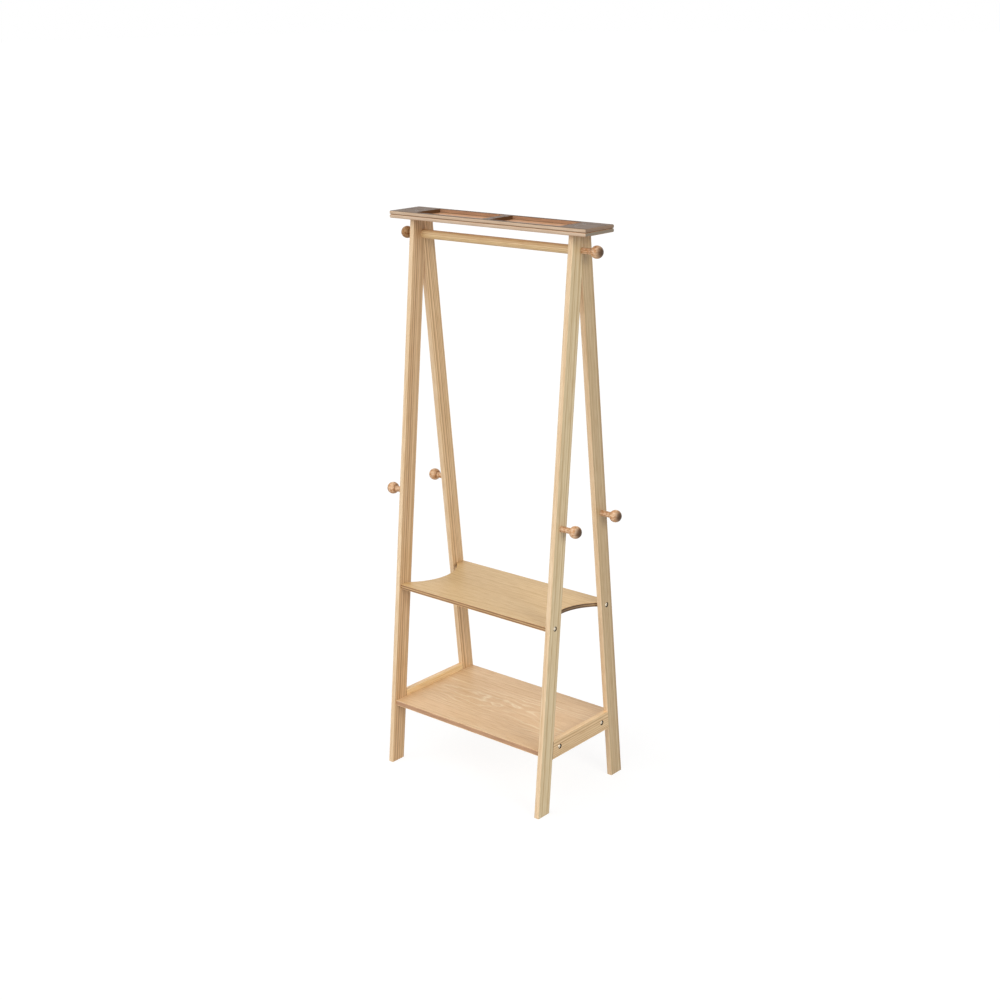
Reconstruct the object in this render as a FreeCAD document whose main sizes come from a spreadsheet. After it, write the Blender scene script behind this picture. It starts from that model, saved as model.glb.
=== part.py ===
"""Clothes rack: two leaning A-frames, a hanging rail, two shelves, a top tray and six turned pegs.

Sizes are in millimetres. X runs along the rack, +Y to its back and +Z up.
The origin lies on the floor, in the middle of the rack.
"""

import FreeCAD
import Part
import Sketcher
import os
from enum import IntEnum

# Driving sizes
SIZES = {
    # Whole rack
    "rack_height": 1500,
    "rack_depth": 360,
    "inner_width": 502,
    # Legs: boards that lean together and butt along a seam at the top
    "leg_thickness": 15,
    "leg_breadth": 45,
    "leg_round": 2,
    "apex_seam": 105,
    # Side rails: they stand above the lower shelf as a lip
    "side_rail_height": 50,
    "side_rail_lip": 16,
    "side_rail_round": 2,
    # Hanging rail, below the tray
    "hanging_rail_diameter": 23,
    "hanging_rail_drop": 42,
    # Shelves
    "upper_shelf_top": 507,
    "upper_shelf_thickness": 12,
    "lower_shelf_top": 179,
    "lower_shelf_thickness": 14,
    "shelf_setback": 4,
    "shelf_round": 2,
    "ear_margin": 10,
    "arc_depth": 46,
    # Tray: two layers, with windows in the upper one
    "tray_overhang": 52,
    "tray_depth": 112,
    "tray_layer": 9.5,
    "tray_round": 3,
    "tray_divider": 24,
    "tray_strip": 10.5,
    "window_setback": 18,
    "window_corner": 3,
    # Pegs
    "peg_height": 759,
    "peg_length": 60,
    "peg_ball_diameter": 32,
    "peg_stem_diameter": 15,
    "peg_cove": 4,
    # Screws of the leg pegs, and studs of the top pegs and the hanging rail
    "peg_screw_diameter": 6,
    "peg_screw_bite": 20,
    "peg_screw_skin": 3,
    "screw_point": 2,
    "rail_stud_bite": 24,
    # Shelf bolts, sunk into the legs and side rails, and their barrel nuts
    "bolt_recess_depth": 4.4,
    "bolt_recess_margin": 1.5,
    "bolt_diameter": 6,
    "bolt_head_diameter": 10,
    "bolt_head_height": 3.2,
    "bolt_rim": 1.2,
    "bolt_crown_diameter": 6,
    "bolt_socket": 4,
    "bolt_socket_depth": 2,
    "bolt_point": 1,
    "bolt_overrun": 2,
    "lower_bolt_setback": 28,
    "nut_diameter": 10,
    "nut_length": 9,
    "nut_setback": 20,
    "nut_slot": 1.4,
    "nut_slot_depth": 1.2,
    # Tray screws
    "tray_screw_diameter": 4.5,
    "tray_screw_head": 9,
    "tray_screw_bite": 30,
    "tray_screw_slot": 1.3,
    "tray_screw_slot_length": 4.6,
    "tray_screw_slot_depth": 1.6,
    # Dowels
    "dowel_diameter": 8,
    "apex_dowel_length": 24,
    "side_dowel_length": 30,
    "side_dowel_spacing": 22,
    "dowel_chamfer": 1,
    # Clearances, and the overrun of every cut
    "bolt_clearance": 0.25,
    "fit_clearance": 0.1,
    "end_clearance": 1,
    "overrun": 5,
}

doc = FreeCAD.newDocument("clothes_rack")
sheet = doc.addObject("Spreadsheet::Sheet", "sizes")
for row, (alias, size) in enumerate(SIZES.items(), start=1):
    sheet.set(f"A{row}", str(size))
    sheet.setAlias(f"A{row}", alias)
doc.recompute()

# Places and sizes worked out from the driving ones
LEG_TOP = "(sizes.rack_height - 2 * sizes.tray_layer)"
LEAN = f"((sizes.rack_depth / 2 - sizes.leg_breadth) / ({LEG_TOP} - sizes.apex_seam))"
INNER_FACE = "(sizes.inner_width / 2)"
LEG_PLANE = "(sizes.inner_width / 2 + sizes.leg_thickness / 2)"
OUTER_FACE = "(sizes.inner_width / 2 + sizes.leg_thickness)"


def leg_edge(height):
    """Distance of a leg's outer edge from the rack's middle plane, at a height."""
    return f"(sizes.rack_depth / 2 - {LEAN} * {height})"


def leg_middle(height):
    return f"({leg_edge(height)} - sizes.leg_breadth / 2)"


def leg_inner(height):
    return f"({leg_edge(height)} - sizes.leg_breadth)"


HANGING_RAIL_HEIGHT = f"({LEG_TOP} - sizes.hanging_rail_drop)"
APEX_DOWEL_HEIGHTS = (
    f"({LEG_TOP} - sizes.hanging_rail_drop / 2)",
    f"({LEG_TOP} - (sizes.hanging_rail_drop + sizes.apex_seam) / 2)",
)
UPPER_SHELF_MIDDLE = "(sizes.upper_shelf_top - sizes.upper_shelf_thickness / 2)"
UPPER_SHELF_HALF_DEPTH = f"({leg_edge('sizes.upper_shelf_top')} - sizes.shelf_setback)"
UPPER_BOLT_PLACE = leg_middle(UPPER_SHELF_MIDDLE)
LOWER_SHELF_MIDDLE = "(sizes.lower_shelf_top - sizes.lower_shelf_thickness / 2)"
LOWER_SHELF_HALF_DEPTH = f"({leg_edge('sizes.lower_shelf_top')} - sizes.shelf_setback)"
LOWER_BOLT_PLACE = f"({leg_inner(LOWER_SHELF_MIDDLE)} - sizes.lower_bolt_setback)"
SIDE_RAIL_TOP = "(sizes.lower_shelf_top + sizes.side_rail_lip)"
SIDE_RAIL_BOTTOM = f"({SIDE_RAIL_TOP} - sizes.side_rail_height)"
SIDE_RAIL_MIDDLE = f"({SIDE_RAIL_TOP} - sizes.side_rail_height / 2)"
SIDE_DOWEL_HEIGHTS = (
    f"({SIDE_RAIL_MIDDLE} + sizes.side_dowel_spacing / 2)",
    f"({SIDE_RAIL_MIDDLE} - sizes.side_dowel_spacing / 2)",
)
SIDE_DOWEL_PLACE = leg_inner(SIDE_RAIL_MIDDLE)
SIDE_DOWEL_BITE = "(sizes.side_dowel_length / 2 + sizes.end_clearance)"
TRAY_SCREW_PLACE = f"({leg_edge(LEG_TOP)} / 2)"
TRAY_SCREW_LENGTH = "(2 * sizes.tray_layer + sizes.tray_screw_bite)"
NUT_PLACE = f"({INNER_FACE} - sizes.nut_setback)"
PEG_PLACE = leg_middle("sizes.peg_height")
BOLT_REACH = "(sizes.nut_setback + sizes.nut_diameter / 2 + sizes.bolt_overrun)"
PEG_HOLE_DEPTH = "(sizes.leg_thickness - sizes.peg_screw_skin)"
PEG_SCREW_LEG_BITE = f"({PEG_HOLE_DEPTH} - sizes.end_clearance)"
PEG_BORE = "(sizes.peg_screw_diameter / 2 + sizes.fit_clearance)"
DOWEL_BORE = "(sizes.dowel_diameter / 2 + sizes.fit_clearance)"
BOLT_BORE = "(sizes.bolt_diameter / 2 + sizes.bolt_clearance)"
BOLT_RECESS = "(sizes.bolt_head_diameter / 2 + sizes.bolt_recess_margin)"
BOLT_SEAT = f"({OUTER_FACE} - sizes.bolt_recess_depth)"

SIDES = {"left": -1, "right": 1}
FACINGS = {"front": -1, "rear": 1}
BOTH_WAYS = (-1, 1)

# The sketch element that holds a sketch's origin
ORIGIN = -1

X_AXIS = FreeCAD.Vector(1, 0, 0)
Y_AXIS = FreeCAD.Vector(0, 1, 0)
Z_AXIS = FreeCAD.Vector(0, 0, 1)
UNTURNED = FreeCAD.Rotation()
TURNED_ROUND = FreeCAD.Rotation(Z_AXIS, 180)
SAME_PLACE = 1e-6


class PointOf(IntEnum):
    """The points of a sketch element that a constraint can hold."""

    START = 1
    END = 2
    CENTRE = 3


def value_of(expression):
    return float(sheet.evalExpression(expression))


def new_body(label):
    body = doc.addObject("PartDesign::Body", label)
    body.Label = label
    return body


def place(part, x="0", y="0", z="0", turn=UNTURNED):
    """Turns a piece and ties its place to the sheet."""
    part.Placement = FreeCAD.Placement(FreeCAD.Vector(), turn)
    part.setExpression("Placement.Base.x", x)
    part.setExpression("Placement.Base.y", y)
    part.setExpression("Placement.Base.z", z)
    return part


def new_sketch(body, name, role, offset="0"):
    """A sketch on one of the body's own planes, moved along the plane's normal."""
    plane = next(feature for feature in body.Origin.OriginFeatures if feature.Role == role)
    sketch = body.newObject("Sketcher::SketchObject", f"{body.Label}_{name}")
    sketch.AttachmentSupport = [(plane, "")]
    sketch.MapMode = "FlatFace"
    sketch.setExpression("AttachmentOffset.Base.z", offset)
    return sketch


def tie(sketch, expression, kind, *places):
    """Adds a dimension whose value follows the sheet."""
    index = sketch.addConstraint(Sketcher.Constraint(kind, *places, value_of(expression)))
    sketch.setExpression(f"Constraints[{index}]", expression)


def tie_point(sketch, element, point, x, y):
    tie(sketch, x, "DistanceX", ORIGIN, PointOf.START, element, point)
    tie(sketch, y, "DistanceY", ORIGIN, PointOf.START, element, point)


def sketch_point(corner):
    return FreeCAD.Vector(value_of(corner[0]), value_of(corner[1]), 0)


def draw_outline(sketch, corners, arcs=None):
    """A closed outline through corners, each a pair of expressions.

    arcs gives, for the corner where an arc starts, a point on the arc and its radius.
    """
    arcs = arcs or {}
    points = [sketch_point(corner) for corner in corners]
    first = sketch.GeometryCount
    ends = []
    for index, point in enumerate(points):
        following = points[(index + 1) % len(points)]
        if index in arcs:
            curve = Part.Arc(point, sketch_point(arcs[index][0]), following)
        else:
            curve = Part.LineSegment(point, following)
        element = sketch.addGeometry(curve, False)
        forward = sketch.getPoint(element, PointOf.START).distanceToPoint(point) < SAME_PLACE
        ends.append((PointOf.START, PointOf.END) if forward else (PointOf.END, PointOf.START))
    for index, corner in enumerate(corners):
        following = (index + 1) % len(corners)
        meeting = (first + index, ends[index][1], first + following, ends[following][0])
        sketch.addConstraint(Sketcher.Constraint("Coincident", *meeting))
        tie_point(sketch, first + index, ends[index][0], *corner)
        if index in arcs:
            tie(sketch, arcs[index][1], "Radius", first + index)


def rectangle(x_low, y_low, x_high, y_high):
    return [(x_low, y_low), (x_high, y_low), (x_high, y_high), (x_low, y_high)]


def centred_rectangle(half_x, half_y):
    return rectangle(f"-{half_x}", f"-{half_y}", half_x, half_y)


def draw_circles(sketch, centres, radius):
    for centre in centres:
        circle = Part.Circle(sketch_point(centre), Z_AXIS, value_of(radius))
        element = sketch.addGeometry(circle, False)
        tie(sketch, radius, "Radius", element)
        tie_point(sketch, element, PointOf.CENTRE, *centre)


def pad(body, sketch, length, symmetric=False):
    feature = body.newObject("PartDesign::Pad", f"{sketch.Name}_pad")
    feature.Profile = sketch
    feature.setExpression("Length", length)
    feature.SideType = "Symmetric" if symmetric else "One side"
    doc.recompute()
    return feature


def check_cut(body, feature, volume_before):
    doc.recompute()
    if feature.Shape.isNull() or feature.Shape.Volume >= volume_before:
        raise RuntimeError(f"{feature.Name} cuts nothing from {body.Label}")


def pocket(body, sketch, depth=None, along_normal=False):
    """Cuts a sketch out of the body: right through, or to a depth against or along its normal."""
    doc.recompute()
    volume_before = body.Tip.Shape.Volume
    feature = body.newObject("PartDesign::Pocket", f"{sketch.Name}_cut")
    feature.Profile = sketch
    if depth is None:
        feature.Type = "ThroughAll"
        feature.SideType = "Symmetric"
    else:
        feature.setExpression("Length", depth)
        feature.Reversed = along_normal
    check_cut(body, feature, volume_before)


def revolve(body, sketch):
    feature = body.newObject("PartDesign::Revolution", f"{sketch.Name}_turned")
    feature.Profile = sketch
    feature.ReferenceAxis = (sketch, ["H_Axis"])
    feature.Angle = 360
    doc.recompute()


def round_edges(body, name, radius, chosen):
    """Rounds the edges of the body that the test chooses."""
    doc.recompute()
    base = body.Tip
    edges = [f"Edge{i}" for i, edge in enumerate(base.Shape.Edges, start=1) if chosen(edge)]
    feature = body.newObject("PartDesign::Fillet", f"{body.Label}_{name}")
    feature.Base = (base, edges)
    feature.setExpression("Radius", radius)
    doc.recompute()


def lies_at(edge, axis, expression):
    """True for an edge whose two ends lie at one value of x, y or z."""
    target = value_of(expression)
    return all(abs(getattr(vertex.Point, axis) - target) < SAME_PLACE for vertex in edge.Vertexes)


def lies_on_faces(edge, axis, half):
    return lies_at(edge, axis, half) or lies_at(edge, axis, f"-{half}")


def make_group(label, master, places):
    """One node of separate, equal solids: each place is x, y, z and a turn."""
    links = []
    for index, (x, y, z, turn) in enumerate(places, start=1):
        link = doc.addObject("App::Link", f"{label}_{index}")
        link.LinkedObject = master
        link.LinkTransform = False
        links.append(place(link, x, y, z, turn))
    group = doc.addObject("Part::Compound", label)
    group.Label = label
    group.Links = links
    return group


def outward(side):
    """The turn that points a piece's own +X away from the rack's middle."""
    return UNTURNED if side > 0 else TURNED_ROUND


def sink_bolts(body, name, side, centres):
    """Bores a board through for shelf bolts, with a round recess for each head in its outer face."""
    bores = new_sketch(body, f"{name}_bores", "YZ_Plane")
    draw_circles(bores, centres, BOLT_BORE)
    pocket(body, bores)
    recesses = new_sketch(body, f"{name}_recesses", "YZ_Plane", f"{side} * sizes.leg_thickness / 2")
    draw_circles(recesses, centres, BOLT_RECESS)
    pocket(body, recesses, "sizes.bolt_recess_depth", along_normal=side < 0)


def make_leg(label, side, facing):
    """A board with flat faces along X, which leans in from the floor to the seam at the top."""
    body = place(new_body(label), x=f"{side} * {LEG_PLANE}")
    half = "sizes.leg_thickness / 2"
    foot = new_sketch(body, "foot", "XY_Plane")
    edges = rectangle(f"-{half}", f"{facing} * {leg_edge('0')}", half, f"{facing} * {leg_inner('0')}")
    draw_outline(foot, edges)
    board = pad(body, foot, LEG_TOP)
    board.UseCustomVector = True
    board.AlongSketchNormal = True
    board.setExpression("Direction.x", "0")
    board.setExpression("Direction.y", f"{-facing} * {LEAN}")
    board.setExpression("Direction.z", "1")
    round_edges(body, "long_edges", "sizes.leg_round", lambda edge: edge.Length > value_of(LEG_TOP))

    seam = new_sketch(body, "seam", "XZ_Plane")
    draw_outline(seam, rectangle("-sizes.leg_thickness", "0", "sizes.leg_thickness", LEG_TOP))
    pocket(body, seam, "sizes.leg_breadth", along_normal=facing > 0)

    sink_bolts(body, "shelf_bolt", side, [(f"{facing} * {UPPER_BOLT_PLACE}", UPPER_SHELF_MIDDLE)])
    stud = new_sketch(body, "rail_stud", "YZ_Plane")
    draw_circles(stud, [("0", HANGING_RAIL_HEIGHT)], PEG_BORE)
    pocket(body, stud)
    peg = new_sketch(body, "peg_screw", "YZ_Plane", f"{side} * {half}")
    draw_circles(peg, [(f"{facing} * {PEG_PLACE}", "sizes.peg_height")], PEG_BORE)
    pocket(body, peg, PEG_HOLE_DEPTH, along_normal=side < 0)

    apex = new_sketch(body, "apex_dowels", "XZ_Plane")
    draw_circles(apex, [("0", height) for height in APEX_DOWEL_HEIGHTS], DOWEL_BORE)
    apex_bite = "sizes.apex_dowel_length / 2 + sizes.end_clearance"
    pocket(body, apex, apex_bite, along_normal=facing < 0)
    rail = new_sketch(body, "side_rail_dowels", "XZ_Plane")
    draw_circles(rail, [("0", height) for height in SIDE_DOWEL_HEIGHTS], DOWEL_BORE)
    pocket(body, rail, f"{SIDE_DOWEL_PLACE} + {SIDE_DOWEL_BITE}", along_normal=facing < 0)
    screw = new_sketch(body, "tray_screw", "XY_Plane", LEG_TOP)
    pilot = "sizes.tray_screw_diameter / 2 + sizes.fit_clearance"
    draw_circles(screw, [("0", f"{facing} * {TRAY_SCREW_PLACE}")], pilot)
    pocket(body, screw, "sizes.tray_screw_bite + sizes.end_clearance")
    return body


def make_side_rail(label, side):
    """A board between the two legs of an A-frame, with its ends cut to their lean."""
    body = place(new_body(label), x=f"{side} * {LEG_PLANE}")
    board = new_sketch(body, "board", "YZ_Plane")
    low = leg_inner(SIDE_RAIL_BOTTOM)
    high = leg_inner(SIDE_RAIL_TOP)
    corners = [(f"-{low}", SIDE_RAIL_BOTTOM), (low, SIDE_RAIL_BOTTOM), (high, SIDE_RAIL_TOP)]
    draw_outline(board, corners + [(f"-{high}", SIDE_RAIL_TOP)])
    pad(body, board, "sizes.leg_thickness", symmetric=True)

    def is_long_edge(edge):
        level = lies_at(edge, "z", SIDE_RAIL_TOP) or lies_at(edge, "z", SIDE_RAIL_BOTTOM)
        return level and edge.Length > value_of("sizes.leg_thickness")

    round_edges(body, "long_edges", "sizes.side_rail_round", is_long_edge)
    centres = [(f"{way} * {LOWER_BOLT_PLACE}", LOWER_SHELF_MIDDLE) for way in BOTH_WAYS]
    sink_bolts(body, "shelf_bolt", side, centres)
    for name, facing in FACINGS.items():
        start = f"({SIDE_DOWEL_PLACE} + sizes.overrun)"
        dowels = new_sketch(body, f"{name}_dowels", "XZ_Plane", f"{-facing} * {start}")
        draw_circles(dowels, [("0", height) for height in SIDE_DOWEL_HEIGHTS], DOWEL_BORE)
        pocket(body, dowels, f"sizes.overrun + {SIDE_DOWEL_BITE}", along_normal=facing > 0)
    return body


def make_hanging_rail(label):
    """A round rail along X, bored at both ends for its studs."""
    body = place(new_body(label), z=HANGING_RAIL_HEIGHT)
    section = new_sketch(body, "half_section", "XZ_Plane")
    radius = "sizes.hanging_rail_diameter / 2"
    bottom = f"({INNER_FACE} - sizes.rail_stud_bite - sizes.end_clearance)"
    corners = [
        (f"-{INNER_FACE}", PEG_BORE),
        (f"-{INNER_FACE}", radius),
        (INNER_FACE, radius),
        (INNER_FACE, PEG_BORE),
        (bottom, PEG_BORE),
        (bottom, "0"),
        (f"-{bottom}", "0"),
        (f"-{bottom}", PEG_BORE),
    ]
    draw_outline(section, corners)
    revolve(body, section)
    return body


def bore_shelf(body, bolt_place, thickness):
    """Bores a shelf's two ends for the bolts, and its underside for the barrel nuts."""
    depth = f"sizes.overrun + {BOLT_REACH} + sizes.end_clearance"
    for name, side in SIDES.items():
        bolts = new_sketch(body, f"{name}_bolts", "YZ_Plane", f"{side} * ({INNER_FACE} + sizes.overrun)")
        draw_circles(bolts, [(f"{way} * {bolt_place}", "0") for way in BOTH_WAYS], BOLT_BORE)
        pocket(body, bolts, depth, along_normal=side < 0)
    nuts = new_sketch(body, "nut_holes", "XY_Plane", f"-{thickness} / 2")
    centres = [
        (f"{side} * {NUT_PLACE}", f"{way} * {bolt_place}") for side in BOTH_WAYS for way in BOTH_WAYS
    ]
    draw_circles(nuts, centres, "sizes.nut_diameter / 2 + sizes.fit_clearance")
    pocket(body, nuts, f"{thickness} / 2 + sizes.nut_length / 2", along_normal=True)


def make_upper_shelf(label):
    """A board between the A-frames, with a concave arc between the two ears of each end."""
    body = place(new_body(label), z=UPPER_SHELF_MIDDLE)
    board = new_sketch(body, "board", "XY_Plane")
    half_chord = f"({UPPER_BOLT_PLACE} - sizes.ear_margin)"
    radius = f"({half_chord} ^ 2 + sizes.arc_depth ^ 2) / (2 * sizes.arc_depth)"
    deepest = f"({INNER_FACE} - sizes.arc_depth)"
    corners = [
        (f"-{INNER_FACE}", f"-{UPPER_SHELF_HALF_DEPTH}"),
        (INNER_FACE, f"-{UPPER_SHELF_HALF_DEPTH}"),
        (INNER_FACE, f"-{half_chord}"),
        (INNER_FACE, half_chord),
        (INNER_FACE, UPPER_SHELF_HALF_DEPTH),
        (f"-{INNER_FACE}", UPPER_SHELF_HALF_DEPTH),
        (f"-{INNER_FACE}", half_chord),
        (f"-{INNER_FACE}", f"-{half_chord}"),
    ]
    arcs = {2: ((deepest, "0"), radius), 6: ((f"-{deepest}", "0"), radius)}
    draw_outline(board, corners, arcs)
    thickness = "sizes.upper_shelf_thickness"
    pad(body, board, thickness, symmetric=True)

    def is_open_edge(edge):
        on_end = lies_on_faces(edge, "x", INNER_FACE) and edge.Curve.TypeId == "Part::GeomLine"
        return lies_on_faces(edge, "z", f"{thickness} / 2") and not on_end

    round_edges(body, "open_edges", "sizes.shelf_round", is_open_edge)
    bore_shelf(body, UPPER_BOLT_PLACE, thickness)
    return body


def make_lower_shelf(label):
    """A plain board between the side rails."""
    body = place(new_body(label), z=LOWER_SHELF_MIDDLE)
    board = new_sketch(body, "board", "XY_Plane")
    draw_outline(board, centred_rectangle(INNER_FACE, LOWER_SHELF_HALF_DEPTH))
    thickness = "sizes.lower_shelf_thickness"
    pad(body, board, thickness, symmetric=True)

    def is_long_edge(edge):
        level = lies_on_faces(edge, "z", f"{thickness} / 2")
        return level and lies_on_faces(edge, "y", LOWER_SHELF_HALF_DEPTH)

    round_edges(body, "long_edges", "sizes.shelf_round", is_long_edge)
    bore_shelf(body, LOWER_BOLT_PLACE, thickness)
    return body


TRAY_SCREW_PLACES = [
    (f"{side} * {LEG_PLANE}", f"{facing} * {TRAY_SCREW_PLACE}")
    for side in SIDES.values()
    for facing in FACINGS.values()
]
TRAY_HALF = (f"({OUTER_FACE} + sizes.tray_overhang)", "sizes.tray_depth / 2")


def is_tray_rim(edge):
    """True for the level edges round a tray layer's outside."""
    sides = lies_on_faces(edge, "x", TRAY_HALF[0]) or lies_on_faces(edge, "y", TRAY_HALF[1])
    return sides and (lies_at(edge, "z", "0") or lies_at(edge, "z", "sizes.tray_layer"))


def make_tray_base(label):
    """The tray's floor, on top of the legs, with rounded edges."""
    body = place(new_body(label), z=LEG_TOP)
    board = new_sketch(body, "board", "XY_Plane")
    draw_outline(board, centred_rectangle(*TRAY_HALF))
    pad(body, board, "sizes.tray_layer")
    round_edges(body, "rim", "sizes.tray_round", is_tray_rim)
    screws = new_sketch(body, "screws", "XY_Plane")
    draw_circles(screws, TRAY_SCREW_PLACES, "sizes.tray_screw_diameter / 2 + sizes.bolt_clearance")
    pocket(body, screws)
    return body


def make_tray_frame(label):
    """The tray's upper layer: two windows side by side, and countersunk holes at both ends."""
    body = place(new_body(label), z=f"{LEG_TOP} + sizes.tray_layer")
    board = new_sketch(body, "board", "XY_Plane")
    draw_outline(board, centred_rectangle(*TRAY_HALF))
    near = "sizes.tray_divider / 2"
    far = f"({INNER_FACE} - sizes.window_setback)"
    half_window = f"({TRAY_HALF[1]} - sizes.tray_strip)"
    draw_outline(board, rectangle(near, f"-{half_window}", far, half_window))
    draw_outline(board, rectangle(f"-{far}", f"-{half_window}", f"-{near}", half_window))
    pad(body, board, "sizes.tray_layer")

    def is_window_corner(edge):
        upright = abs(edge.tangentAt(edge.FirstParameter).z) > 1 - SAME_PLACE
        return upright and abs(edge.Vertexes[0].X) < value_of(far) + SAME_PLACE

    round_edges(body, "window_corners", "sizes.window_corner", is_window_corner)
    round_edges(body, "rim", "sizes.tray_round", is_tray_rim)
    screws = new_sketch(body, "screws", "XY_Plane", "sizes.tray_layer")
    clear_radius = "(sizes.tray_screw_diameter / 2 + sizes.bolt_clearance)"
    draw_circles(screws, TRAY_SCREW_PLACES, clear_radius)
    doc.recompute()
    volume_before = body.Tip.Shape.Volume
    holes = body.newObject("PartDesign::Hole", f"{label}_holes")
    holes.Profile = screws
    holes.DepthType = "ThroughAll"
    holes.setExpression("Diameter", f"2 * {clear_radius}")
    holes.HoleCutType = "Countersink"
    holes.setExpression("HoleCutDiameter", "sizes.tray_screw_head + 2 * sizes.bolt_clearance")
    holes.HoleCutCountersinkAngle = 90
    check_cut(body, holes, volume_before)
    return body


def make_peg(label, side, y, z):
    """A turned peg: a round stem with a ball on its end, bored for its screw."""
    body = place(new_body(label), f"{side} * {OUTER_FACE}", y, z, outward(side))
    section = new_sketch(body, "half_section", "XZ_Plane")
    ball = "sizes.peg_ball_diameter / 2"
    stem = "sizes.peg_stem_diameter / 2"
    ball_centre = f"(sizes.peg_length - {ball})"
    meeting = f"({ball_centre} - sqrt(({ball}) ^ 2 - ({stem}) ^ 2))"
    bottom = "sizes.peg_screw_bite + sizes.end_clearance"
    corners = [
        ("0", PEG_BORE),
        ("0", stem),
        (meeting, stem),
        ("sizes.peg_length", "0"),
        (bottom, "0"),
        (bottom, PEG_BORE),
    ]
    draw_outline(section, corners, {2: ((ball_centre, ball), ball)})
    revolve(body, section)
    round_edges(body, "cove", "sizes.peg_cove", lambda edge: lies_at(edge, "x", meeting))
    return body


def make_screw_pin(label, back, ahead):
    """A double-ended screw along X, from one point behind the face where it enters to one ahead."""
    body = new_body(label)
    section = new_sketch(body, "half_section", "XZ_Plane")
    radius = "sizes.peg_screw_diameter / 2"
    corners = [
        (f"-{back}", "0"),
        (f"-{back} + sizes.screw_point", radius),
        (f"{ahead} - sizes.screw_point", radius),
        (ahead, "0"),
    ]
    draw_outline(section, corners)
    revolve(body, section)
    return body


def make_bolt(label):
    """A bolt along X with a domed head: its seat lies at x = 0 and its head points to +X."""
    body = new_body(label)
    section = new_sketch(body, "half_section", "XZ_Plane")
    shank = "sizes.bolt_diameter / 2"
    head = "sizes.bolt_head_diameter / 2"
    crown = "sizes.bolt_crown_diameter / 2"
    length = f"(sizes.leg_thickness - sizes.bolt_recess_depth + {BOLT_REACH})"
    rise = "(sizes.bolt_head_height - sizes.bolt_rim)"
    dome = f"((({head} - {crown}) ^ 2 + {rise} ^ 2) / (2 * {rise}))"
    halfway = f"({crown} + ({head} - {crown}) / 2)"
    dome_drop = f"({dome} - sqrt({dome} ^ 2 - (({head} - {crown}) / 2) ^ 2))"
    corners = [
        (f"-{length}", "0"),
        (f"-{length}", f"{shank} - sizes.bolt_point"),
        (f"-{length} + sizes.bolt_point", shank),
        ("0", shank),
        ("0", head),
        ("sizes.bolt_rim", head),
        ("sizes.bolt_head_height", crown),
        ("sizes.bolt_head_height", "0"),
    ]
    draw_outline(section, corners, {5: ((f"sizes.bolt_head_height - {dome_drop}", halfway), dome)})
    revolve(body, section)
    socket = new_sketch(body, "socket", "YZ_Plane", "sizes.bolt_head_height")
    flat = "sizes.bolt_socket / 2"
    tip = "sizes.bolt_socket / sqrt(3)"
    right_half = [(flat, f"-{tip} / 2"), (flat, f"{tip} / 2"), ("0", tip)]
    left_half = [(f"-{flat}", f"{tip} / 2"), (f"-{flat}", f"-{tip} / 2"), ("0", f"-{tip}")]
    draw_outline(socket, right_half + left_half)
    pocket(body, socket, "sizes.bolt_socket_depth")
    return body


def make_nut(label):
    """An upright barrel nut with a cross bore along X and a slot in its lower end."""
    body = new_body(label)
    barrel = new_sketch(body, "barrel", "XY_Plane")
    draw_circles(barrel, [("0", "0")], "sizes.nut_diameter / 2")
    pad(body, barrel, "sizes.nut_length", symmetric=True)
    bore = new_sketch(body, "bore", "YZ_Plane")
    draw_circles(bore, [("0", "0")], "sizes.bolt_diameter / 2 + sizes.fit_clearance")
    pocket(body, bore)
    slot = new_sketch(body, "slot", "XY_Plane", "-sizes.nut_length / 2")
    draw_outline(slot, centred_rectangle("sizes.nut_diameter", "sizes.nut_slot / 2"))
    pocket(body, slot, "sizes.nut_slot_depth", along_normal=True)
    return body


def make_tray_screw(label):
    """A countersunk screw along X: the flat of its head lies at x = 0 and its point at -X."""
    body = new_body(label)
    section = new_sketch(body, "half_section", "XZ_Plane")
    head = "sizes.tray_screw_head / 2"
    shank = "sizes.tray_screw_diameter / 2"
    corners = [
        (f"-{TRAY_SCREW_LENGTH}", "0"),
        (f"-{TRAY_SCREW_LENGTH} + sizes.tray_screw_diameter", shank),
        (f"-({head} - {shank})", shank),
        ("0", head),
        ("0", "0"),
    ]
    draw_outline(section, corners)
    revolve(body, section)
    half_length = "sizes.tray_screw_slot_length / 2"
    half_width = "sizes.tray_screw_slot / 2"
    for name, halves in (("slot", (half_length, half_width)), ("cross_slot", (half_width, half_length))):
        slot = new_sketch(body, name, "YZ_Plane")
        draw_outline(slot, centred_rectangle(*halves))
        pocket(body, slot, "sizes.tray_screw_slot_depth")
    return body


def make_dowel(label, length):
    """A round wooden pin along X with chamfered ends."""
    body = new_body(label)
    section = new_sketch(body, "half_section", "XZ_Plane")
    radius = "sizes.dowel_diameter / 2"
    narrow = f"({radius} - sizes.dowel_chamfer)"
    end = f"({length} / 2)"
    shoulder = f"({end} - sizes.dowel_chamfer)"
    corners = [
        (f"-{end}", "0"),
        (f"-{end}", narrow),
        (f"-{shoulder}", radius),
        (shoulder, radius),
        (end, narrow),
        (end, "0"),
    ]
    draw_outline(section, corners)
    revolve(body, section)
    return body


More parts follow.
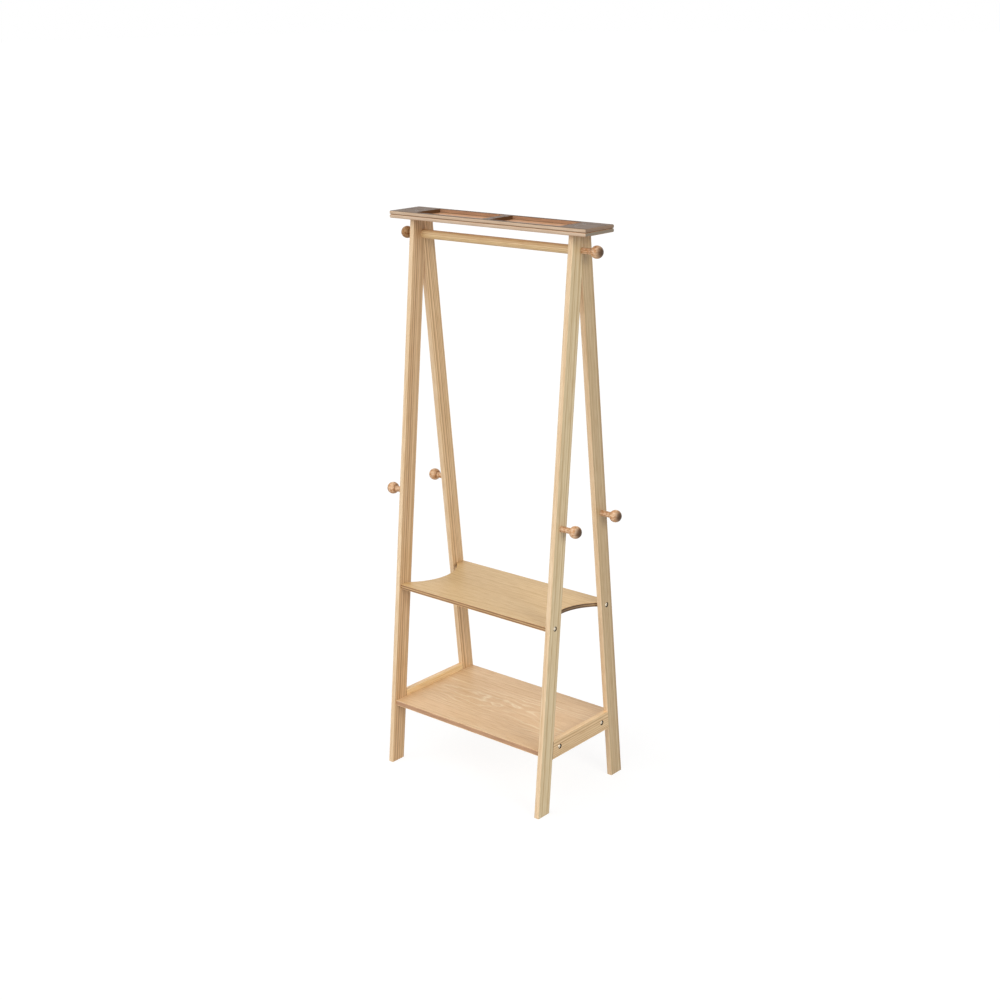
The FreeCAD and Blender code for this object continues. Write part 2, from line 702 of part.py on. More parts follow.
# The rack's wooden pieces
sub_parts = []
for side_name, side in SIDES.items():
    for facing_name, facing in FACINGS.items():
        sub_parts.append(make_leg(f"{side_name}_{facing_name}_leg", side, facing))
        peg_label = f"{side_name}_{facing_name}_peg"
        sub_parts.append(make_peg(peg_label, side, f"{facing} * {PEG_PLACE}", "sizes.peg_height"))
    sub_parts.append(make_side_rail(f"{side_name}_side_rail", side))
    sub_parts.append(make_peg(f"{side_name}_top_peg", side, "0", HANGING_RAIL_HEIGHT))
sub_parts.append(make_hanging_rail("hanging_rail"))
sub_parts.append(make_upper_shelf("upper_shelf"))
sub_parts.append(make_lower_shelf("lower_shelf"))
sub_parts.append(make_tray_base("tray_base"))
sub_parts.append(make_tray_frame("tray_frame"))

# The fasteners, each modelled once and then placed
bolt = make_bolt("shelf_bolt")
nut = make_nut("barrel_nut")
peg_screw = make_screw_pin("peg_screw", PEG_SCREW_LEG_BITE, "sizes.peg_screw_bite")
rail_stud_back = "(sizes.leg_thickness + sizes.rail_stud_bite)"
rail_stud = make_screw_pin("rail_stud", rail_stud_back, "sizes.peg_screw_bite")
tray_screw = make_tray_screw("tray_screw")
apex_dowel = make_dowel("apex_dowel", "sizes.apex_dowel_length")
side_dowel = make_dowel("side_rail_dowel", "sizes.side_dowel_length")

ALONG_Y = FreeCAD.Rotation(X_AXIS, Y_AXIS)
UPWARD = FreeCAD.Rotation(X_AXIS, Z_AXIS)


def places_by_side(x, y, z):
    """Four places, two on each A-frame, for pieces that point outward."""
    return [(f"{side} * {x}", f"{way} * {y}", z, outward(side)) for side in BOTH_WAYS for way in BOTH_WAYS]


groups = {
    "upper_shelf_bolts": (bolt, places_by_side(BOLT_SEAT, UPPER_BOLT_PLACE, UPPER_SHELF_MIDDLE)),
    "upper_shelf_nuts": (nut, places_by_side(NUT_PLACE, UPPER_BOLT_PLACE, UPPER_SHELF_MIDDLE)),
    "lower_shelf_bolts": (bolt, places_by_side(BOLT_SEAT, LOWER_BOLT_PLACE, LOWER_SHELF_MIDDLE)),
    "lower_shelf_nuts": (nut, places_by_side(NUT_PLACE, LOWER_BOLT_PLACE, LOWER_SHELF_MIDDLE)),
    "peg_screws": (peg_screw, places_by_side(OUTER_FACE, PEG_PLACE, "sizes.peg_height")),
    "hanging_rail_studs": (
        rail_stud,
        [(f"{side} * {OUTER_FACE}", "0", HANGING_RAIL_HEIGHT, outward(side)) for side in BOTH_WAYS],
    ),
    "tray_screws": (tray_screw, [(x, y, "sizes.rack_height", UPWARD) for x, y in TRAY_SCREW_PLACES]),
    "apex_dowels": (
        apex_dowel,
        [
            (f"{side} * {LEG_PLANE}", "0", height, ALONG_Y)
            for side in BOTH_WAYS
            for height in APEX_DOWEL_HEIGHTS
        ],
    ),
    "side_rail_dowels": (
        side_dowel,
        [
            (f"{side} * {LEG_PLANE}", f"{way} * {SIDE_DOWEL_PLACE}", height, ALONG_Y)
            for side in BOTH_WAYS
            for way in BOTH_WAYS
            for height in SIDE_DOWEL_HEIGHTS
        ],
    ),
}
for label, (master, places) in groups.items():
    sub_parts.append(make_group(label, master, places))
doc.recompute()

# Every element has to be sound before anything is written
for element in doc.Objects:
    if "Invalid" in element.State or "Error" in element.State:
        raise RuntimeError(f"{element.Label} failed: {element.State}")
for part in sub_parts:
    if part.Shape.isNull() or not part.Shape.isValid():
        raise RuntimeError(f"{part.Label} has no sound shape")

os.makedirs("parts", exist_ok=True)
for part in sub_parts:
    part.Shape.exportStep(os.path.join("parts", f"{part.Label}.step"))
    print(part.Label, len(part.Shape.Solids), "solids", round(part.Shape.Volume), "mm3")
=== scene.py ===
# %% [markdown]
# # A wooden clothes rack
#
# The rack is two leaning A-frames of pale pine, with a round rail and a shallow tray across
# their tops, two plywood shelves between them and six turned pegs on the outside.
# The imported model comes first. It is a fixed frame: each piece made below takes its place
# from one of its nodes, so nothing has to be fitted by eye.

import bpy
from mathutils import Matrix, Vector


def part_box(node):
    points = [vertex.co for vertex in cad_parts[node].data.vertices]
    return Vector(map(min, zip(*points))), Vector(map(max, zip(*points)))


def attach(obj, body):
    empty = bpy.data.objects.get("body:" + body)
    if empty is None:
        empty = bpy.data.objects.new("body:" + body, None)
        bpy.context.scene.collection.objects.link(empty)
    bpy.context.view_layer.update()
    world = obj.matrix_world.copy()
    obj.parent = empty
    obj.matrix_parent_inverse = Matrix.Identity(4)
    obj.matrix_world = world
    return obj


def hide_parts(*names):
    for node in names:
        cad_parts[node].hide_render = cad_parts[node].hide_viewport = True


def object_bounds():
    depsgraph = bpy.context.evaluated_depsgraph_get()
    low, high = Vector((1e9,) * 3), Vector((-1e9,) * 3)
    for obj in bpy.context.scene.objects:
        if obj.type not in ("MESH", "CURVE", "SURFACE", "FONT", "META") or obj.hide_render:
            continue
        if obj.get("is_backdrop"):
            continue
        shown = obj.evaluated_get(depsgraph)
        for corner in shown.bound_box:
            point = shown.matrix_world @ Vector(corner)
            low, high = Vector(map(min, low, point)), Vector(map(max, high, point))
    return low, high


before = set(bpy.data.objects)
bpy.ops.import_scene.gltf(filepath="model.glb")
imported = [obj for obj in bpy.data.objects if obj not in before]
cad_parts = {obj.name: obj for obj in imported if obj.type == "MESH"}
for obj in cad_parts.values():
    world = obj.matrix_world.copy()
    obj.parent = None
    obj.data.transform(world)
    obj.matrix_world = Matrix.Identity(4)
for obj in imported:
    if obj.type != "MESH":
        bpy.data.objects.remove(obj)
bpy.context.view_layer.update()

# %% [markdown]
# ## Working by hand, in code
#
# A modeller selects something, then presses a key. In a script the selecting has to be said:
# an operator acts on all that is selected, and the frame's nodes are selected when it has
# loaded. So `hold` takes one piece in hand and lets go of the rest, and `pick` chooses its
# vertices, edges or faces in edit mode by where they are. `settle` puts the place, turn and
# size of a piece into its mesh, so that its object sits at the origin as the nodes do.

# %% Taking a piece in hand
import math

import bmesh
import bpy
from mathutils import Euler, Matrix, Vector

MM = 0.001
TINY = 1e-5


def let_go():
    bpy.ops.object.select_all(action="DESELECT")


def hold(piece):
    let_go()
    piece.select_set(True)
    bpy.context.view_layer.objects.active = piece


def settle():
    bpy.ops.object.transform_apply(location=True, rotation=True, scale=True)


def edit(piece):
    hold(piece)
    bpy.ops.object.mode_set(mode="EDIT")


def leave():
    bpy.ops.object.mode_set(mode="OBJECT")


def near(value, target):
    return abs(value - target) < TINY


def pick(kind, test):
    """Selects the verts, edges or faces of the piece in edit mode that pass a test."""
    bpy.ops.mesh.select_mode(type={"verts": "VERT", "edges": "EDGE", "faces": "FACE"}[kind])
    bpy.ops.mesh.select_all(action="DESELECT")
    mesh = bmesh.from_edit_mesh(bpy.context.object.data)
    for element in getattr(mesh, kind):
        if test(element):
            element.select_set(True)
    mesh.select_flush_mode()
    bmesh.update_edit_mesh(bpy.context.object.data)


# %% Boards, cylinders and cuts
QUARTER_TURN = math.radians(90)
LYING = (0, QUARTER_TURN, 0)
ROUND_VERTICES = 48


def add_board(name, low, high):
    """A cube, brought to a board's size and place."""
    let_go()
    bpy.ops.mesh.primitive_cube_add(size=1, location=(Vector(low) + Vector(high)) / 2)
    board = bpy.context.object
    board.name = name
    board.scale = Vector(high) - Vector(low)
    settle()
    return board


def add_cylinder(radius, length, middle, turn=(0, 0, 0), vertices=ROUND_VERTICES):
    """A cylinder that stands upright, or is turned."""
    let_go()
    bpy.ops.mesh.primitive_cylinder_add(
        vertices=vertices, radius=radius, depth=length, location=middle, rotation=turn,
    )
    settle()
    return bpy.context.object


def ease(radius, segments=4):
    """Rounds the picked edges, as sandpaper or a router does."""
    bpy.ops.mesh.bevel(offset=radius, segments=segments, profile=0.5, affect="EDGES")


def cut(piece, cutter):
    """Takes the cutter's shape out of the piece, and the cutter away."""
    hold(piece)
    bpy.ops.object.modifier_add(type="BOOLEAN")
    saw = piece.modifiers[-1]
    saw.operation = "DIFFERENCE"
    saw.solver = "EXACT"
    saw.object = cutter
    bpy.ops.object.modifier_apply(modifier=saw.name)
    bpy.data.objects.remove(cutter)


# %% [markdown]
# ## The camera
#
# The photograph was taken from the front right, a little above the top of the rack.
# The rack's own straight edges give the place of the camera. A camera turned by its azimuth
# round the rack, its elevation and a slight roll is easy to read back later, so the three
# directions are worked out from those angles and not typed as a matrix.

# %% Place the camera
AZIMUTH = math.radians(40.42)
ELEVATION = math.radians(16.15)
ROLL = math.radians(-0.73)
DISTANCE = 4.163
AIM = Vector((-0.0018, 0.0, 0.8443))
LENS = 57.58
VERTICAL_SHIFT = -0.03
SIGHT = 200

back = Vector((
    math.sin(AZIMUTH) * math.cos(ELEVATION),
    -math.cos(AZIMUTH) * math.cos(ELEVATION),
    math.sin(ELEVATION),
))
right = Vector((math.cos(AZIMUTH), math.sin(AZIMUTH), 0))
up = back.cross(right)
rolled_right = right * math.cos(ROLL) + up * math.sin(ROLL)
rolled_up = up * math.cos(ROLL) - right * math.sin(ROLL)
facing = Matrix((rolled_right, rolled_up, back)).transposed()

bpy.ops.object.camera_add(location=AIM + back * DISTANCE, rotation=facing.to_euler())
camera = bpy.context.object
camera.data.lens = LENS
camera.data.shift_y = VERTICAL_SHIFT
camera.data.clip_end = SIGHT
bpy.context.scene.camera = camera
print("camera stands at", [round(value, 3) for value in camera.location])

# %% [markdown]
# ## Nodes in few words
#
# Each finish below is a tree of shader nodes. Clicking it together takes an afternoon, and
# written out in full it takes a page. One helper adds a node, sets its switches and joins its
# sockets. The others use it: for a sum of numbers or of vectors, for a change of range, for a
# colour ramp and for a mix of two colours.

# %% Colours
def grey(level):
    return (level, level, level, 1)


def srgb(red, green, blue):
    """A colour as a picture holds it, 0 to 255, turned into the linear one a shader takes."""
    shares = [value / 255 for value in (red, green, blue)]
    linear = [v / 12.92 if v <= 0.04045 else ((v + 0.055) / 1.055) ** 2.4 for v in shares]
    return (*linear, 1.0)


BLACK = grey(0)
WHITE = grey(1)


# %% Helpers for materials
def add_node(tree, kind, sockets=None, **switches):
    node = tree.nodes.new(kind)
    for name, value in switches.items():
        setattr(node, name, value)
    for socket, value in (sockets or {}).items():
        if isinstance(value, bpy.types.NodeSocket):
            tree.links.new(value, node.inputs[socket])
        else:
            node.inputs[socket].default_value = value
    return node


def add_sum(tree, operation, *values):
    sockets = dict(enumerate(values))
    return add_node(tree, "ShaderNodeMath", sockets, operation=operation).outputs[0]


def add_vector_sum(tree, operation, *values):
    sockets = dict(enumerate(values))
    node = add_node(tree, "ShaderNodeVectorMath", sockets, operation=operation)
    return node.outputs["Value" if operation in ("LENGTH", "DOT_PRODUCT") else "Vector"]


def add_range(tree, value, low, high, start=0.0, end=1.0):
    """Maps a value that runs from start to end, so that it runs from low to high."""
    sockets = {"Value": value, "From Min": start, "From Max": end, "To Min": low, "To Max": high}
    return add_node(tree, "ShaderNodeMapRange", sockets).outputs[0]


def add_ramp(tree, factor, stops):
    ramp = add_node(tree, "ShaderNodeValToRGB", {"Fac": factor})
    elements = ramp.color_ramp.elements
    while len(elements) < len(stops):
        elements.new(1.0)
    for element, (position, colour) in zip(elements, stops):
        element.position = position
        element.color = colour
    return ramp.outputs["Color"]


def mix_colours(tree, factor, first, second, blend="MIX"):
    sockets = {0: factor, 6: first, 7: second}
    node = add_node(tree, "ShaderNodeMix", sockets, data_type="RGBA", blend_type=blend)
    return node.outputs[2]


def new_material(name):
    material = bpy.data.materials.new(name)
    material.use_nodes = True
    return material, material.node_tree, material.node_tree.nodes["Principled BSDF"]


# %% [markdown]
# ## Floor, world and lamps
#
# The rack stands on a white ground with hardly a shadow. More light would bleach the wood, so
# the ground is white for another reason: rays from the camera see mostly a plain white glow,
# and only a small share of the lit floor, which still holds a soft shadow under the rack.

# %% A white ground
FLOOR_SPAN = 200
FLOOR_PAINT = grey(0.7)
SEEN_PAINT = grey(0.2)
SEEN_GLOW = 0.86


def add_seen_rays(tree):
    """One where a ray comes from the camera, from gloss or through glass, else zero."""
    path = add_node(tree, "ShaderNodeLightPath")
    seen = path.outputs["Is Camera Ray"]
    for other in ("Is Glossy Ray", "Is Transmission Ray"):
        seen = add_sum(tree, "MAXIMUM", seen, path.outputs[other])
    return seen


let_go()
bpy.ops.mesh.primitive_plane_add(size=FLOOR_SPAN)
floor = bpy.context.object
floor.name = "floor"
floor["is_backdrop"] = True
paint, tree, shader = new_material("white floor")
tree.nodes.remove(shader)
matt = add_node(tree, "ShaderNodeBsdfDiffuse", {"Color": FLOOR_PAINT})
seen_matt = add_node(tree, "ShaderNodeBsdfDiffuse", {"Color": SEEN_PAINT})
glow = add_node(tree, "ShaderNodeEmission", {"Color": WHITE, "Strength": SEEN_GLOW})
seen = add_node(tree, "ShaderNodeAddShader", {0: seen_matt.outputs[0], 1: glow.outputs[0]})
sockets = {0: add_seen_rays(tree), 1: matt.outputs[0], 2: seen.outputs[0]}
mixed = add_node(tree, "ShaderNodeMixShader", sockets)
tree.links.new(mixed.outputs[0], tree.nodes["Material Output"].inputs["Surface"])
floor.data.materials.append(paint)
print("floor is", [round(value, 1) for value in floor.dimensions], "m")

# %% The world behind it
SKY_LEVEL = 0.33

world = bpy.context.scene.world or bpy.data.worlds.new("studio")
bpy.context.scene.world = world
world.use_nodes = True
tree = world.node_tree
sky = tree.nodes["Background"]
sky.inputs["Color"].default_value = WHITE
level = add_range(tree, add_seen_rays(tree), SKY_LEVEL, 1.0)
tree.links.new(level, sky.inputs["Strength"])
print("sky lights the rack at", SKY_LEVEL)

# %% [markdown]
# The photograph's narrow front edges are the brightest, its shelf tops come next, and the wide
# faces to the right are darkest. A very broad lamp at the front gives that order, and weaker
# ones at the right and behind keep the other faces open. A sun lamp reaches everything alike,
# so the ground stays evenly white up to the horizon, and a wide angle softens its shadows as a
# large diffuser does. The lamp at the right is narrower, so the pegs and the right side rail
# still throw a little shade.

# %% Broad lamps
def add_lamp(name, direction, level, angle):
    """A sun in a direction from the rack, which lights a face turned to it to a share of white."""
    turn = Vector(direction).to_track_quat("Z", "Y").to_euler()
    let_go()
    bpy.ops.object.light_add(type="SUN", location=direction, rotation=turn)
    lamp = bpy.context.object
    lamp.name = name
    lamp.data.energy = level * math.pi
    lamp.data.angle = math.radians(angle)
    print(name, "lights at", level)


add_lamp("front lamp", (-1.2, -3.4, 2.6), level=0.53, angle=70)
add_lamp("right lamp", (3.4, -1.0, 1.5), level=0.42, angle=30)
add_lamp("rear lamp", (-2.0, 2.6, 2.0), level=0.14, angle=70)
bpy.context.scene.view_settings.view_transform = "Standard"

# %% [markdown]
# ## Wood as a solid
#
# A board is sawn from a trunk, so its figure isn't drawn on its faces: it is a stack of growth
# rings that the saw has met. An image wrapped round the board would show the same lines on its
# edges and ends. Here the rings are a solid pattern on the piece's own coordinates. They are
# turned until they run along the board, and moved until the trunk's heart lies well outside
# it. Then flat faces show long lines, and sawn ends show arcs, with no unwrapping.

# %% The run of the grain
ALONG_X = (0, -QUARTER_TURN, 0)
ALONG_Y = (QUARTER_TURN, 0, 0)


def add_place(tree):
    return add_node(tree, "ShaderNodeTexCoord").outputs["Object"]


def add_grain_space(tree, node, turn, heart):
    """Coordinates with Z along the grain. Their axis is the trunk's heart.

    The heart is given as seen from the node's middle, once the trunk is turned upright.
    """
    low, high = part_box(node)
    middle = Euler(turn).to_matrix() @ ((low + high) / 2)
    sockets = {"Vector": add_place(tree), "Rotation": turn, "Location": Vector(heart) - middle}
    return add_node(tree, "ShaderNodeMapping", sockets).outputs[0]


def add_noise(tree, grain, across, along, detail=2.0):
    """A noise stretched along the grain, with so many patches per metre across and along it."""
    sockets = {"Vector": grain, "Scale": (across, across, along)}
    space = add_node(tree, "ShaderNodeMapping", sockets).outputs[0]
    return add_node(tree, "ShaderNodeTexNoise", {"Vector": space, "Scale": 1.0, "Detail": detail})


# %% [markdown]
# No two years are alike, so each ring has its own width and its own darkness. Slow noise bends
# the rings. The distance from the heart, counted in rings, gives the number of a year and how
# far that year has gone: a noise on the number sets its darkness, and a ramp over the rest
# draws pale early wood that ends in a dark line. A sliced veneer also shows flames, which are
# the same rings, thin and pale, in scattered patches.

# %% Growth rings
DRIFT_DETAIL = 3.0
WIDTH_CHANGE = 0.45
FAINTEST = 0.3


def add_rings(tree, grain, ring, wander, waves, shape, bends=0.9):
    """Growth rings, which wander with so many waves per metre across and bends along the grain.

    The shape is a year's darkness, from its start to its end.
    """
    drift = add_noise(tree, grain, waves, bends, DRIFT_DETAIL).outputs["Color"]
    bent = add_vector_sum(tree, "MULTIPLY_ADD", drift, (wander, wander, 0), grain)
    across = add_vector_sum(tree, "MULTIPLY", bent, (1, 1, 0))
    years = add_sum(tree, "DIVIDE", add_vector_sum(tree, "LENGTH", across), ring)
    sockets = {"W": years, "Scale": WIDTH_CHANGE, "Detail": 0.0}
    uneven = add_node(tree, "ShaderNodeTexNoise", sockets, noise_dimensions="1D")
    years = add_sum(tree, "ADD", years, uneven.outputs["Fac"])
    number = add_sum(tree, "FLOOR", years)
    luck = add_node(tree, "ShaderNodeTexWhiteNoise", {"W": number}, noise_dimensions="1D")
    darkness = add_range(tree, luck.outputs["Value"], FAINTEST, 1.0)
    line = add_ramp(tree, add_sum(tree, "FRACT", years), shape)
    return add_sum(tree, "MULTIPLY", darkness, line)


# %% Pale flames
FLAME_LINE = ((0.0, BLACK), (0.3, BLACK), (0.5, WHITE), (0.7, BLACK))
FLAME_PATCH = ((0.46, BLACK), (0.6, WHITE))


def add_flames(tree, grain):
    lines = add_rings(tree, grain, 7 * MM, wander=0.034, waves=14, shape=FLAME_LINE, bends=6)
    patches = add_noise(tree, grain, across=12, along=3.0, detail=1.0).outputs["Fac"]
    return add_sum(tree, "MULTIPLY", lines, add_ramp(tree, patches, FLAME_PATCH))


# %% Faces that cut the grain
def add_facing(tree, direction, start, end, both=True):
    """Rises from 0 to 1 as a face turns towards a direction, or away too if both ways count."""
    normal = add_node(tree, "ShaderNodeTexCoord").outputs["Normal"]
    share = add_vector_sum(tree, "DOT_PRODUCT", normal, direction)
    if both:
        share = add_sum(tree, "ABSOLUTE", share)
    return add_range(tree, share, 0.0, 1.0, start, end)


# %% [markdown]
# Clear lacquer lies over the wood. Under it the rings set the tone, faces that look towards the
# heart have a tone of their own, and sawn ends are darker because their open pores drink the
# lacquer. Streaks vary the tone along the grain, and short fibres break up both the tone and
# the gloss.

# %% A lacquered wood
YEAR = ((0.0, BLACK), (0.45, grey(0.25)), (0.78, WHITE), (0.9, WHITE), (1.0, BLACK))
FLAT_FACING = (0.7, 0.95)
END_FACING = (0.6, 1.0)
END_SHADE = 0.55
STREAK = srgb(241, 234, 224)
FIBRE = srgb(236, 227, 214)
DULL, GLOSSY = 0.56, 0.42
RELIEF = {"Strength": 0.25, "Distance": 0.3 * MM}


def tint(tree, colour, noise, start, shade, end):
    """Multiplies a colour by a shade where a noise is below start, and leaves it past end."""
    shades = add_ramp(tree, noise, ((start, shade), (end, WHITE)))
    return mix_colours(tree, 1.0, colour, shades, "MULTIPLY")


def make_wood(name, node, turn, heart, ring, light, dark, flat=None, flame=None,
              wander=0.014, waves=38, shine=0.5, streak=STREAK):
    """Returns the material, its tree, its shader, its colour and its fibres."""
    wood, tree, shader = new_material(name)
    shader.inputs["Specular IOR Level"].default_value = shine
    grain = add_grain_space(tree, node, turn, heart)
    colour = mix_colours(tree, add_rings(tree, grain, ring, wander, waves, YEAR), light, dark)
    if flame:
        colour = mix_colours(tree, add_flames(tree, grain), colour, flame)
    to_piece = Euler(turn).to_matrix().transposed()
    if flat:
        radial = to_piece @ Vector((heart[0], heart[1], 0)).normalized()
        colour = mix_colours(tree, add_facing(tree, radial, *FLAT_FACING), colour, flat)
    lengthwise = to_piece @ Vector((0, 0, 1))
    end_grain = tuple(END_SHADE * value for value in dark)
    colour = mix_colours(tree, add_facing(tree, lengthwise, *END_FACING), colour, end_grain)
    streaks = add_noise(tree, grain, across=130, along=2.5).outputs["Fac"]
    colour = tint(tree, colour, streaks, 0.3, streak, 0.7)
    fibres = add_noise(tree, grain, across=900, along=22, detail=1.0).outputs["Fac"]
    colour = tint(tree, colour, fibres, 0.32, FIBRE, 0.55)
    tree.links.new(colour, shader.inputs["Base Color"])
    tree.links.new(add_range(tree, fibres, DULL, GLOSSY), shader.inputs["Roughness"])
    relief = add_node(tree, "ShaderNodeBump", {"Height": fibres, **RELIEF})
    tree.links.new(relief.outputs[0], shader.inputs["Normal"])
    return wood, tree, shader, colour, fibres


# %% [markdown]
# The shelves and the tray are plywood. Their flat faces show a veneer, and their edges a darker
# core, in the upper shelf with a pale line along its middle. A core that depends only on the
# height in the board gives both: the faces lie wholly in the veneer, and the rounded edges cut
# through all plies. Where an edge cuts across the grain, as at the arched ends of the upper
# shelf, the core has a tone of its own and reaches out to the faces.

# %% Plies on a board's edge
PALE_SHARE = grey(0.25)
LINE_BLUR = 0.08
CORE_RIM = ((0.72, WHITE), (0.84, BLACK))
END_PLIES = ((0.6, grey(0.55)), (0.72, WHITE))
CUT_FACING = (0.4, 0.9)


def make_plywood(name, node, core_light, core_dark, pale_line, core_ends, **wood_choices):
    """Veneered wood with a core. The pale line is the share of the core that stays pale."""
    wood, tree, shader, veneer, fibres = make_wood(name, node, **wood_choices)
    low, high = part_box(node)
    height = add_node(tree, "ShaderNodeSeparateXYZ", {0: add_place(tree)}).outputs["Z"]
    height = add_sum(tree, "SUBTRACT", height, (low.z + high.z) / 2)
    from_middle = add_sum(tree, "DIVIDE", add_sum(tree, "ABSOLUTE", height), (high.z - low.z) / 2)
    middle = PALE_SHARE if pale_line else WHITE
    plies = ((0.0, middle), (pale_line, middle), (pale_line + LINE_BLUR, WHITE), *CORE_RIM)
    ends = add_facing(tree, (1, 0, 0), *CUT_FACING)
    end_share = add_sum(tree, "MULTIPLY", ends, add_ramp(tree, from_middle, END_PLIES))
    core_share = add_sum(tree, "MAXIMUM", add_ramp(tree, from_middle, plies), end_share)
    core = add_ramp(tree, fibres, ((0.3, core_dark), (0.7, core_light)))
    core = mix_colours(tree, ends, core, core_ends)
    colour = mix_colours(tree, core_share, veneer, core)
    tree.links.new(colour, shader.inputs["Base Color"])
    return wood


# %% [markdown]
# ## The legs
#
# Each leg is one board that leans in and meets its partner along a short upright seam. Drawing
# its outline point by point would work, but the leg is simpler as the joiner makes it: an
# upright board, its top pushed over, its long edges eased, and then one cut down the middle of
# the rack that makes the seam. The foot's rim is broken last, so that it doesn't splinter on
# the floor.

# %% Sizes of a leg
LEG_BREADTH = 45 * MM
LEG_ROUND = 2 * MM
FOOT_ROUND = 0.8 * MM

leg_low, leg_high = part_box("right_rear_leg")
rail_low, rail_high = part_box("right_side_rail")
HALF_DEPTH = leg_high.y
LEG_TOP = leg_high.z
LEAN = (HALF_DEPTH - LEG_BREADTH - rail_high.y) / rail_low.z
LEAN_ANGLE = math.atan(LEAN)
print("legs lean by", round(math.degrees(LEAN_ANGLE), 2), "degrees")


# %% Making a leg
def make_leg(name, way):
    """A leg at the front, with a way of -1, or at the back."""
    low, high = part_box(name)
    edges = sorted((way * HALF_DEPTH, way * (HALF_DEPTH - LEG_BREADTH)))
    leg = add_board(f"{name}_board", (low.x, edges[0], 0), (high.x, edges[1], LEG_TOP))
    edit(leg)
    pick("verts", lambda vert: near(vert.co.z, LEG_TOP))
    bpy.ops.transform.translate(value=(0, -way * LEAN * LEG_TOP, 0))
    pick("edges", lambda edge: edge.calc_length() > LEG_TOP)
    ease(LEG_ROUND)
    bpy.ops.mesh.select_all(action="SELECT")
    bpy.ops.mesh.bisect(plane_co=(0, 0, 0), plane_no=(0, way, 0), use_fill=True, clear_inner=True)
    pick("edges", lambda edge: all(near(vert.co.z, 0) for vert in edge.verts))
    ease(FOOT_ROUND, 2)
    leave()
    return leg


# %% [markdown]
# A piece is finished in the same few steps each time. Rounded edges are shaded smooth, and a
# Weighted Normal modifier keeps the wide faces flat next to them. Then it gets its material and
# takes the place of its node in the frame. Where a few of its faces look different, such as
# the walls of a bored hole, they get a second material.

# %% Finishing a piece
SMOOTH_ANGLE = math.radians(40)


def finish_piece(piece, node, material):
    hold(piece)
    bpy.ops.object.shade_smooth_by_angle(angle=SMOOTH_ANGLE)
    bpy.ops.object.modifier_add(type="WEIGHTED_NORMAL")
    piece.modifiers[-1].keep_sharp = True
    bpy.ops.object.modifier_apply(modifier=piece.modifiers[-1].name)
    piece.data.materials.clear()
    piece.data.materials.append(material)
    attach(piece, "root")
    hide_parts(node)
    size = [round(value / MM, 1) for value in piece.dimensions]
    print(piece.name, len(piece.data.polygons), "faces,", size, "mm")


def paint_faces(piece, material, test):
    """Gives the faces that pass a test a material of their own."""
    piece.data.materials.append(material)
    edit(piece)
    pick("faces", test)
    piece.active_material_index = len(piece.data.materials) - 1
    bpy.ops.object.material_slot_assign()
    leave()


# %% [markdown]
# The shelf bolts are sunk into the legs and the side rails, so each of these boards has a round
# recess for a bolt's head. A cylinder along X cuts it and its rim is broken. The bored walls are
# a near-black brown: partly the darker fibres that the drill has cut across, mostly painted shade
# in the recess.

# %% Places of the bolts
SIDES = {"left": -1, "right": 1}
WAYS = {"front": -1, "rear": 1}
RECESS = 6.5 * MM
RECESS_BREAK = 0.3 * MM
BOLT_HEAD = 5 * MM
HEAD_HEIGHT = 3.2 * MM
OVERRUN = 5 * MM


def bolt_places(level, side):
    """Where the seats of a shelf's two bolts lie on one side, front and rear."""
    low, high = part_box(f"{level}_shelf_bolts")
    seat = Vector((high.x - HEAD_HEIGHT, high.y - BOLT_HEAD, (low.z + high.z) / 2))
    return {way: Vector((side * seat.x, way * seat.y, seat.z)) for way in WAYS.values()}


def is_in_recess(point, seat):
    return math.hypot(point.y - seat.y, point.z - seat.z) < RECESS + TINY


def outer_face(board):
    return max(abs(vert.co.x) for vert in board.data.vertices)


# %% Recesses for the bolts
# Painted shade: the bored walls are near black, far darker than cut fibres, to stand in for the
# shade inside each recess.
BORED_AND_SHADED = {
    "heart": (0.03, 0.19, 0.3), "ring": 4 * MM, "shine": 0.05,
    "light": srgb(62, 38, 18), "dark": srgb(34, 18, 8),
}


def sink_bolt(board, seat):
    side = math.copysign(1, seat.x)
    cut(board, add_cylinder(RECESS, 2 * OVERRUN, seat + Vector((side * OVERRUN, 0, 0)), LYING))
    face_x = outer_face(board)

    def is_recess_rim(edge):
        return all(near(abs(v.co.x), face_x) and is_in_recess(v.co, seat) for v in edge.verts)

    edit(board)
    pick("edges", is_recess_rim)
    ease(RECESS_BREAK, 2)
    leave()


# Gives the recess walls the near-black wood, which is mostly painted shade.
def paint_recess_shade(board, node, seat, turn):
    wood, *_ = make_wood(f"bored wood and painted shade of {node}", node, turn, **BORED_AND_SHADED)
    wall_end = outer_face(board) - RECESS_BREAK + TINY

    def is_bored(face):
        return all(is_in_recess(v.co, seat) and abs(v.co.x) < wall_end for v in face.verts)

    paint_faces(board, wood, is_bored)


# %% Four legs, each from its own part of the trunk
LEG_EDGE = srgb(240, 213, 177)
PINE = {"light": srgb(225, 208, 171), "dark": srgb(198, 171, 128), "flat": LEG_EDGE}
DULL_PINE = {"light": srgb(210, 188, 150), "dark": srgb(163, 132, 93), "flat": LEG_EDGE}
BROWN_PINE = {"light": srgb(226, 195, 153), "dark": srgb(152, 106, 66), "flat": LEG_EDGE}
TAN_PINE = {"light": srgb(248, 218, 173), "dark": srgb(170, 122, 78), "flat": LEG_EDGE}

